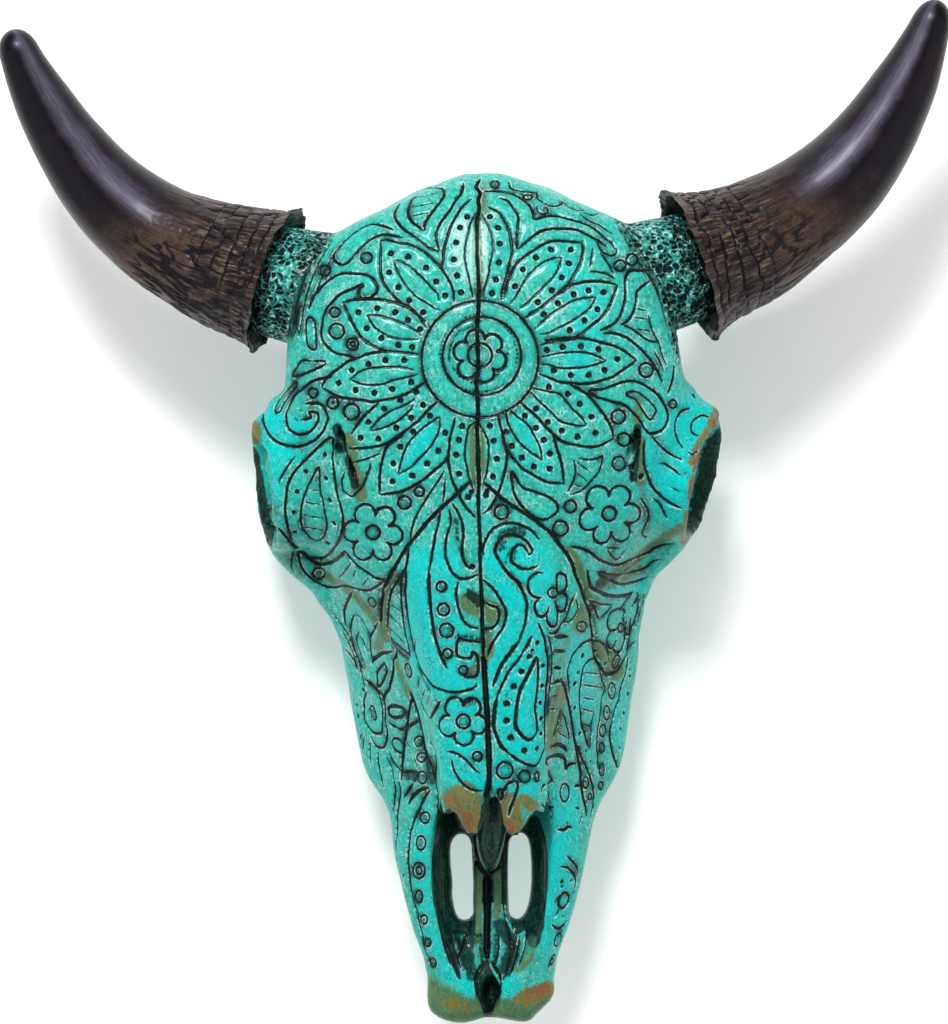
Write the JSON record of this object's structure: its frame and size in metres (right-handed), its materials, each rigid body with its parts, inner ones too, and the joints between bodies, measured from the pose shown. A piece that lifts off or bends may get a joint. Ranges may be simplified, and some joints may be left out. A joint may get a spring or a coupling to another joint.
{
  "type": "carved cow skull",
  "caption": "Carved and painted cow skull lying face up on its teeth and the back of its head, with open eye sockets and nose and curved horn sheaths on bone cores.",
  "frame": {"origin": "on the surface that the skull lies on, under the middle of its box", "axes": "+Y from the muzzle to the crown, +Z out of the face, +X to the right of someone who looks down on the face"},
  "size_m": [0.5614, 0.6074, 0.1763],
  "materials": {
    "painted_bone": "carved bone under turquoise paint with dark green in the grooves, worn to olive brown, varnished",
    "horn": "dark brown horn, cracked at its mouth and polished to black towards its tip"
  },
  "bodies": {
    "root": {"skull": "painted_bone", "horn_right": "horn", "horn_left": "horn"}
  },
  "joints": []
}
